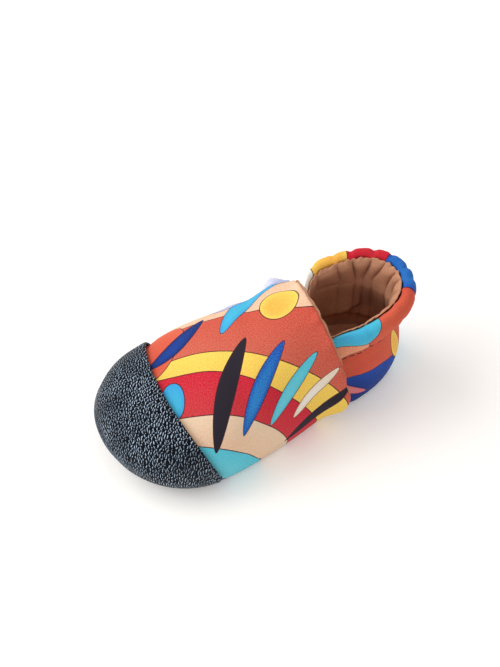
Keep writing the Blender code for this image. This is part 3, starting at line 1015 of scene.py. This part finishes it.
def make_insole(cotton):
    along, across = share_grid(INSOLE_FACETS)
    station = whole_length(along)
    side = np.where(across >= 0.5, 1.0, -1.0)
    share = np.sin(np.abs(2.0 * across - 1.0) * np.pi / 2)
    border = INSOLE_BORDER * smooth((share - BORDER_START) / BORDER_SPAN)
    height = SOLE_WALL + GAP + INSOLE_WALL + border
    points = plan_point(station, side, -INSOLE_INSET, share, height)
    place = flat_place(station, distance_round(points, 1, INSOLE_FACETS[1] // 2))
    insole = sheet("insole_cotton", points, place)
    thicken(insole, INSOLE_WALL * INSOLE_PAD)
    settle(insole, "insole", cotton)


# Materials

# The sockets of a mix node that deal with colours
MIX_SHARE, MIX_FIRST, MIX_SECOND, MIX_RESULT = 0, 6, 7, 2
HALF = 0.5

# Below, a scale of noise is in turns per metre, and a range holds two values and the two that
# they turn into.

# The print: how its second colour gains along a shape and fades towards its edge, and how
# strongly the cloth's grain speckles it.
FADE_SLOPE = 0.4
FADE_MIDDLE = 0.75
FADE_CORE = 0.25
FADE_AT_EDGE = 0.1
SHAPE_SPECKLE = 3.6
GROUND_SPECKLE = 3.2
PRINT_GRAIN = 2600.0
PRINT_CLOUD = 60.0

# The weave of each cloth: threads per metre, unevenness, and the depth and strength of its
# relief. Then its slubs, the rise of its threads and the range of the shade painted over
# their height.
CLOTH_WEAVE = (2100.0, 0.5, 0.00012, 0.5)
COTTON_WEAVE = (1900.0, 0.9, 0.00015, 0.6)
COTTON_CLOUD = 90.0
SLUB = 900.0
THREAD_RISE = 0.35
SHADE_RANGE = (0.1, 0.9, 0.86, 1.06)

# The pebbles: how wide their drift is, how uneven they are, how far a mound slopes, how much it
# wrinkles, the ranges of its valleys, where shade is painted, and of its painted glints, and what
# the smooth band round the cap's front does to it: it flattens the grain and paints a sheen.
DRIFT_SCALE = 0.4
PEBBLE_UNEVEN = 0.9
MOUND_SLOPE = 0.42
WRINKLE = 0.5
VALLEY_RANGE = (0.1, 0.7, 1.0, 0.0)
GLINT_RANGE = (0.26, 0.64, 0.0, 1.0)
GLINT_PATCH = 75.0
PATCH_RANGE = (0.30, 0.60, 0.45, 1.0)
POLISH_FLATTENS = -0.6
POLISH_SHEEN = 0.5
ROUGHNESS_RANGE = (0.0, 1.0, 0.36, 0.80)

# The thread's strands
THREAD_STRANDS = 4000.0
THREAD_RELIEF = 0.0001


def paint(name):
    """A colour of the palette, as the linear values that a shader takes."""

    def linear(part):
        """The usual curve from a screen's value to light."""
        part = part / 255.0
        return part / 12.92 if part <= 0.04045 else ((part + 0.055) / 1.055) ** 2.4

    return tuple(linear(part) for part in PALETTE[name]) + (1.0,)


class Wiring:
    """Short calls that place and link the nodes of one tree."""

    def __init__(self, tree):
        self.tree = tree

    def feed(self, socket, value):
        if isinstance(value, bpy.types.NodeSocket):
            self.tree.links.new(value, socket)
        else:
            socket.default_value = value

    def add(self, kind, values=None, **settings):
        node = self.tree.nodes.new(kind)
        for key, value in settings.items():
            setattr(node, key, value)
        for key, value in (values or {}).items():
            self.feed(node.inputs[key], value)
        return node

    def math(self, operation, *values, clamp=False):
        node = self.add("ShaderNodeMath", operation=operation, use_clamp=clamp)
        for socket, value in zip(node.inputs, values):
            self.feed(socket, value)
        return node.outputs[0]

    def mix(self, share, first, second, blend="MIX"):
        node = self.add("ShaderNodeMix", data_type="RGBA", blend_type=blend)
        self.feed(node.inputs[MIX_SHARE], share)
        self.feed(node.inputs[MIX_FIRST], first)
        self.feed(node.inputs[MIX_SECOND], second)
        return node.outputs[MIX_RESULT]

    def spread(self, value, low, high, to_low, to_high):
        """Maps a value from one range to another, and holds it there."""
        ends = {"From Min": low, "From Max": high, "To Min": to_low, "To Max": to_high}
        return self.add("ShaderNodeMapRange", {"Value": value, **ends}).outputs[0]

    def vector(self, operation, first, second):
        node = self.add("ShaderNodeVectorMath", {0: first}, operation=operation)
        self.feed(node.inputs["Scale" if operation == "SCALE" else 1], second)
        return node.outputs[0]

    def noise(self, place, scale, detail, output="Fac"):
        values = {"Vector": place, "Scale": scale, "Detail": detail}
        return self.add("ShaderNodeTexNoise", values).outputs[output]

    def group(self, tree, values):
        return self.add("ShaderNodeGroup", values, node_tree=tree).outputs

    def attribute(self, name, output):
        return self.add("ShaderNodeAttribute", attribute_name=name).outputs[output]


def effect(name, inputs, outputs):
    """An empty node group with named sockets, and the two ends of its wiring."""
    tree = bpy.data.node_groups.new(name, "ShaderNodeTree")
    for title, kind in inputs.items():
        tree.interface.new_socket(name=title, in_out="INPUT", socket_type="NodeSocket" + kind)
    for title, kind in outputs.items():
        tree.interface.new_socket(name=title, in_out="OUTPUT", socket_type="NodeSocket" + kind)
    wiring = Wiring(tree)
    start = wiring.add("NodeGroupInput").outputs
    end = wiring.add("NodeGroupOutput").inputs
    return tree, wiring, start, end


def print_shape_effect():
    """One printed shape over what lies under it: a bent superellipse with a fine outline."""
    tree, wiring, start, end = effect(
        "print_shape",
        {
            "Under": "Color",
            "Colour": "Color",
            "Second": "Color",
            "Outline": "Color",
            "Place": "Vector",
            "Grain": "Float",
            "Middle": "Vector",
            "Direction": "Vector",
            "Half Length": "Float",
            "Half Width": "Float",
            "Bend": "Float",
            "Fullness": "Float",
            "Fade": "Float",
            "Line": "Float",
        },
        {"Colour": "Color"},
    )
    turned = wiring.add(
        "ShaderNodeMapping",
        {"Vector": start["Place"], "Location": start["Middle"], "Rotation": start["Direction"]},
        vector_type="TEXTURE",
    )
    parts = wiring.add("ShaderNodeSeparateXYZ", {0: turned.outputs[0]}).outputs
    along = wiring.math("ABSOLUTE", parts[0])
    bowed = wiring.math("MULTIPLY", wiring.math("MULTIPLY", along, along), start["Bend"])
    aside = wiring.math("ABSOLUTE", wiring.math("SUBTRACT", parts[1], bowed))

    def reach(grow):
        length = wiring.math("ADD", start["Half Length"], grow)
        width = wiring.math("ADD", start["Half Width"], grow)
        first = wiring.math("POWER", wiring.math("DIVIDE", along, length), start["Fullness"])
        second = wiring.math("POWER", wiring.math("DIVIDE", aside, width), start["Fullness"])
        return wiring.math("ADD", first, second)

    middle = reach(0.0)
    share = wiring.math("DIVIDE", parts[0], start["Half Length"])
    share = wiring.math("MULTIPLY_ADD", share, FADE_SLOPE, FADE_MIDDLE)
    inside = wiring.spread(middle, FADE_CORE, 1.0, 1.0, FADE_AT_EDGE)
    share = wiring.math("MULTIPLY", share, inside)
    speckle = wiring.math("SUBTRACT", start["Grain"], HALF)
    share = wiring.math("MULTIPLY_ADD", speckle, SHAPE_SPECKLE, share, clamp=True)
    share = wiring.math("MULTIPLY", share, start["Fade"])
    filled = wiring.mix(share, start["Colour"], start["Second"])
    within_line = wiring.math("LESS_THAN", reach(start["Line"]), 1.0)
    outlined = wiring.mix(within_line, start["Under"], start["Outline"])
    within = wiring.math("LESS_THAN", middle, 1.0)
    wiring.feed(end["Colour"], wiring.mix(within, outlined, filled))
    return tree


def weave_effect():
    """Crossing threads: their height, and a faint shade painted between them, uneven with the
    slubs.
    """
    tree, wiring, start, end = effect(
        "cloth_weave",
        {"Place": "Vector", "Threads": "Float", "Unevenness": "Float"},
        {"Height": "Float", "Shade": "Float"},
    )
    parts = wiring.add("ShaderNodeSeparateXYZ", {0: start["Place"]}).outputs
    slub = wiring.math("SUBTRACT", wiring.noise(start["Place"], SLUB, 3.0), HALF)
    bulge = wiring.math("MULTIPLY", slub, start["Unevenness"])

    def threads(part):
        turns = wiring.math("MULTIPLY", part, start["Threads"])
        return wiring.math("SINE", wiring.math("MULTIPLY", turns, 2 * math.pi))

    crossing = wiring.math("MULTIPLY", threads(parts[0]), threads(parts[1]))
    height = wiring.math("MULTIPLY_ADD", crossing, THREAD_RISE, HALF)
    height = wiring.math("ADD", height, bulge)
    wiring.feed(end["Height"], height)
    wiring.feed(end["Shade"], wiring.spread(height, *SHADE_RANGE))
    return tree


def pebble_effect():
    """Pebbled leather: long rounded grains that wander, parted by narrow valleys, where shade is
    painted. Glint is the side of each grain that faces the light, where a highlight is painted."""
    tree, wiring, start, end = effect(
        "pebble_grain",
        {"Place": "Vector", "Pebble": "Float", "Wander": "Float", "Lit Side": "Vector"},
        {"Height": "Float", "Valley": "Float", "Glint": "Float"},
    )
    scale = wiring.math("DIVIDE", 1.0, start["Pebble"])
    coarse = wiring.math("MULTIPLY", scale, DRIFT_SCALE)
    drift = wiring.noise(start["Place"], coarse, 1.0, output="Color")
    centred = wiring.vector("SUBTRACT", drift, (HALF, HALF, HALF))
    moved = wiring.vector("SCALE", centred, start["Wander"])
    place = wiring.vector("ADD", start["Place"], moved)

    def mound(spot):
        cells = wiring.add(
            "ShaderNodeTexVoronoi",
            {"Vector": spot, "Scale": scale, "Randomness": PEBBLE_UNEVEN},
            feature="DISTANCE_TO_EDGE",
            voronoi_dimensions="2D",
        )
        slope = wiring.spread(cells.outputs["Distance"], 0.0, MOUND_SLOPE, 0.0, math.pi / 2)
        return wiring.math("SINE", slope)

    here = mound(place)
    shifted = wiring.vector("ADD", place, start["Lit Side"])
    wrinkle = wiring.noise(place, scale, 1.0)
    facing = wiring.math("SUBTRACT", here, mound(shifted))
    wiring.feed(end["Height"], wiring.math("MULTIPLY_ADD", wrinkle, WRINKLE, here))
    wiring.feed(end["Valley"], wiring.spread(here, *VALLEY_RANGE))
    wiring.feed(end["Glint"], wiring.spread(facing, *GLINT_RANGE))
    return tree


def new_material(name, **constants):
    """A material whose shader has the given constant values, and the wiring of its tree."""
    material = bpy.data.materials.new(name)
    material.use_nodes = True
    shader = material.node_tree.nodes["Principled BSDF"]
    for title, value in constants.items():
        shader.inputs[title.replace("_", " ").title().replace("Ior", "IOR")].default_value = value
    return material, Wiring(material.node_tree), shader.inputs


def relief(wiring, shader, height, depth, strength):
    bump = wiring.add("ShaderNodeBump", {"Height": height, "Distance": depth, "Strength": strength})
    wiring.feed(shader["Normal"], bump.outputs["Normal"])


def woven(wiring, shader, colour, place, weave, threads, unevenness, depth, strength):
    """Lays a colour on a woven cloth, with the painted shade and the relief of its threads."""
    values = {"Place": place, "Threads": threads, "Unevenness": unevenness}
    cloth = wiring.group(weave, values)
    # Painted shade between the threads
    shaded = wiring.mix(1.0, colour, cloth["Shade"], blend="MULTIPLY")
    wiring.feed(shader["Base Color"], shaded)
    relief(wiring, shader, cloth["Height"], depth, strength)


def printed_cloth(name, shapes, ground, print_shape, weave):
    material, wiring, shader = new_material(
        name, roughness=0.88, specular_ior_level=0.2, sheen_weight=0.03
    )
    place = wiring.attribute("flat_spot", "Vector")
    grain = wiring.noise(place, PRINT_GRAIN, 2.0)
    wide = wiring.noise(place, PRINT_CLOUD, 1.0)
    speckle = wiring.math("SUBTRACT", grain, HALF)
    speckled = wiring.math("MULTIPLY_ADD", speckle, GROUND_SPECKLE, wide, clamp=True)
    colour = wiring.mix(speckled, paint(ground[0]), paint(ground[1]))
    for shape in shapes:
        values = {
            "Under": colour,
            "Colour": paint(shape["colour"]),
            "Second": paint(shape["second"]),
            "Outline": paint("outline"),
            "Place": place,
            "Grain": grain,
            "Middle": (shape["ahead"], shape["around"], 0.0),
            "Direction": (0.0, 0.0, math.radians(shape["direction"])),
            "Half Length": shape["length"],
            "Half Width": shape["width"],
            "Bend": shape["bend"],
            "Fullness": shape["fullness"],
            "Fade": shape["fade"],
            "Line": PRINT_LINE,
        }
        colour = wiring.group(print_shape, values)["Colour"]
    woven(wiring, shader, colour, place, weave, *CLOTH_WEAVE)
    return material


def brown_cotton(weave):
    material, wiring, shader = new_material(
        "brown_cotton", roughness=0.92, specular_ior_level=0.15, sheen_weight=0.04
    )
    place = wiring.attribute("flat_spot", "Vector")
    wide = wiring.noise(place, COTTON_CLOUD, 3.0)
    colour = wiring.mix(wide, paint("brown"), paint("brown_shade"))
    # Painted shade in the lining's creases, under its sags and in the heel's hollow
    creased = wiring.math("MULTIPLY", wiring.attribute("mark", "Fac"), LINING_PAINTED_SHADE)
    colour = wiring.mix(creased, colour, paint("brown_painted_shade"))
    woven(wiring, shader, colour, place, weave, *COTTON_WEAVE)
    return material


def pebbled_black(pebbles):
    material, wiring, shader = new_material("pebbled_black", specular_ior_level=0.08)
    flat = wiring.attribute("flat_spot", "Vector")
    drawn_out = wiring.add("ShaderNodeMapping", {"Vector": flat, "Scale": PEBBLE_STRETCH})
    values = {
        "Place": drawn_out.outputs[0],
        "Pebble": PEBBLE,
        "Wander": PEBBLE * PEBBLE_WANDER,
        "Lit Side": PEBBLE_LIT_SIDE,
    }
    grain = wiring.group(pebbles, values)
    # Painted shade in the valleys between the grains
    colour = wiring.mix(grain["Valley"], paint("black"), paint("black_valley_shade"))
    polish_and_sheen = wiring.attribute("mark", "Fac")
    grained = wiring.math("MULTIPLY_ADD", polish_and_sheen, POLISH_FLATTENS, 1.0)
    # Painted highlight on the lit side of each grain, patchy over the cap and fainter on the smooth
    # band
    patchy = wiring.spread(wiring.noise(flat, GLINT_PATCH, 1.0), *PATCH_RANGE)
    glint = wiring.math("MULTIPLY", grain["Glint"], patchy)
    glint = wiring.math("MULTIPLY", glint, grained)
    colour = wiring.mix(glint, colour, paint("black_glint"))
    # Painted sheen on the smooth band round the cap's front
    painted_sheen = wiring.math("MULTIPLY", polish_and_sheen, POLISH_SHEEN)
    colour = wiring.mix(painted_sheen, colour, paint("black_polish_sheen"))
    wiring.feed(shader["Base Color"], colour)
    wiring.feed(shader["Roughness"], wiring.spread(grain["Valley"], *ROUGHNESS_RANGE))
    relief(wiring, shader, grain["Height"], PEBBLE_RELIEF, grained)
    return material


def dark_thread():
    material, wiring, shader = new_material("dark_thread", roughness=0.7, sheen_weight=0.2)
    place = wiring.add("ShaderNodeTexCoord").outputs["Object"]
    strands = wiring.noise(place, THREAD_STRANDS, 2.0)
    wiring.feed(shader["Base Color"], wiring.mix(strands, paint("ink"), paint("thread")))
    relief(wiring, shader, strands, THREAD_RELIEF, HALF)
    return material


# The stage

FLOOR_COLOUR = (0.95, 0.920, 0.892, 1.0)
FLOOR_SIZE = 6.0
FLOOR_GLOW = 0.16
FLOOR_CLOUD = 3.0
FLOOR_SHADE = 0.985
SKY_COLOUR = (1.0, 0.995, 0.98, 1.0)
HORIZON_COLOUR = (0.55, 0.55, 0.56, 1.0)
SKY_STRENGTH = 0.80
SKY_TOP = 0.75

# The lamps: where each stands, its width, its power in watts and its colour.
LAMPS = (
    ("key_light", (-0.70, -0.66, 0.90), 1.0, 7.5, (1.0, 0.98, 0.95)),
    ("front_light", (-0.22, -0.82, 0.66), 0.70, 3.0, (0.90, 0.96, 1.0)),
)


def view_axes():
    """The camera's right, up and backward directions."""
    flat = math.cos(VIEW_ELEVATION)
    turn_x = math.cos(VIEW_AZIMUTH)
    turn_y = math.sin(VIEW_AZIMUTH)
    right = Vector((turn_x, turn_y, 0.0))
    back = Vector((turn_y * flat, -turn_x * flat, math.sin(VIEW_ELEVATION)))
    up = back.cross(right)
    turned_right = right * math.cos(VIEW_ROLL) + up * math.sin(VIEW_ROLL)
    turned_up = up * math.cos(VIEW_ROLL) - right * math.sin(VIEW_ROLL)
    return turned_right, turned_up, back


def make_camera():
    right, up, back = view_axes()
    lens = bpy.data.cameras.new("camera")
    lens.sensor_width = SENSOR
    lens.lens = SENSOR * FOCAL_PIXELS / PHOTO_HEIGHT
    lens.clip_start = VIEW_START
    camera = place_object("camera", lens)
    turned = Matrix((right, up, back)).transposed().to_4x4()
    camera.matrix_world = Matrix.Translation(VIEW_TARGET + back * VIEW_DISTANCE) @ turned
    bpy.context.scene.camera = camera


def make_floor():
    material, wiring, shader = new_material("pale_floor", roughness=0.9, specular_ior_level=0.1)
    place = wiring.add("ShaderNodeTexCoord").outputs["Object"]
    cloud = wiring.noise(place, FLOOR_CLOUD, 2.0)
    darker = tuple(part * FLOOR_SHADE for part in FLOOR_COLOUR[:3]) + (1.0,)
    wiring.feed(shader["Base Color"], wiring.mix(cloud, FLOOR_COLOUR, darker))
    shader["Emission Color"].default_value = FLOOR_COLOUR
    shader["Emission Strength"].default_value = FLOOR_GLOW
    shape = bmesh.new()
    bmesh.ops.create_grid(shape, x_segments=1, y_segments=1, size=FLOOR_SIZE / 2)
    mesh = bpy.data.meshes.new("floor")
    shape.to_mesh(mesh)
    shape.free()
    floor = place_object("floor", mesh)
    mesh.materials.append(material)


def softbox(name, place, size, power, colour):
    """A round soft light that faces the shoe."""
    lamp = bpy.data.lights.new(name, "AREA")
    lamp.shape = "DISK"
    lamp.size = size
    lamp.energy = power
    lamp.color = colour
    box = place_object(name, lamp)
    turned = place.to_track_quat("Z", "Y").to_matrix().to_4x4()
    box.matrix_world = Matrix.Translation(place) @ turned


def make_light():
    for name, place, size, power, colour in LAMPS:
        softbox(name, Vector(place), size, power, colour)
    world = bpy.data.worlds.new("studio")
    world.use_nodes = True
    sky = world.node_tree.nodes["Background"].inputs
    wiring = Wiring(world.node_tree)
    towards = wiring.add("ShaderNodeTexCoord").outputs["Generated"]
    height = wiring.add("ShaderNodeSeparateXYZ", {0: towards}).outputs[2]
    share = wiring.spread(height, 0.0, SKY_TOP, 0.0, 1.0)
    wiring.feed(sky["Color"], wiring.mix(share, HORIZON_COLOUR, SKY_COLOUR))
    sky["Strength"].default_value = SKY_STRENGTH
    bpy.context.scene.world = world
    bpy.context.scene.view_settings.view_transform = "Standard"


def main():
    print_shape = print_shape_effect()
    weave = weave_effect()
    leather = pebbled_black(pebble_effect())
    cotton = brown_cotton(weave)
    make_sole(leather)
    make_insole(cotton)
    vamp_print = printed_cloth("vamp_print", VAMP_PRINT, VAMP_GROUND, print_shape, weave)
    make_vamp(vamp_print, cotton)
    back_print = printed_cloth("quarter_print", QUARTER_PRINT, QUARTER_GROUND, print_shape, weave)
    make_quarter(back_print, cotton)
    make_stitches(dark_thread())
    make_toe_cap(leather)
    make_camera()
    make_floor()
    make_light()


main()
bpy.context.view_layer.update()
